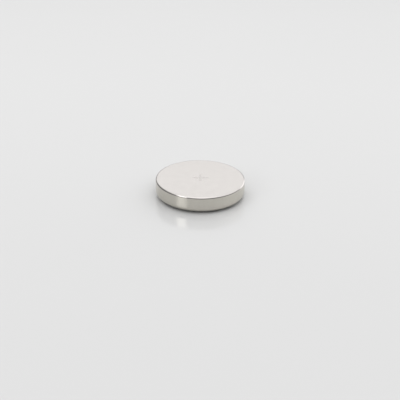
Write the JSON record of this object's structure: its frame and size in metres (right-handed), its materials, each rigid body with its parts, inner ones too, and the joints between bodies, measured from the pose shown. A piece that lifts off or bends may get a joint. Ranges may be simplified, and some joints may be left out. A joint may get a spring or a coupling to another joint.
{
  "type": "lithium coin cell",
  "caption": "Flat round metal coin cell with a rolled crimp, an insulating gasket and a stepped contact cap, holding its electrodes and separator.",
  "frame": {"origin": "centre of the negative contact face, on the surface that the cell lies on", "axes": "+Z along the cell's axis, out of the positive face; +X and +Y lie in the plane of the contact face, and the cell is round about Z"},
  "size_m": [0.0244, 0.0244, 0.005],
  "materials": {
    "can_steel": "bright rolled stainless steel",
    "cap_steel": "satin stainless steel",
    "gasket_plastic": "moulded translucent polypropylene",
    "lithium_foil": "soft dull foil",
    "separator_felt": "non-woven white felt",
    "cathode_mix": "pressed black powder",
    "grid_steel": "etched stainless steel grid"
  },
  "bodies": {
    "root": {"positive_can": "can_steel", "negative_cap": "cap_steel", "sealing_gasket": "gasket_plastic", "lithium_anode": "lithium_foil", "separator": "separator_felt", "cathode_pellet": "cathode_mix", "current_collector": "grid_steel"}
  },
  "joints": []
}
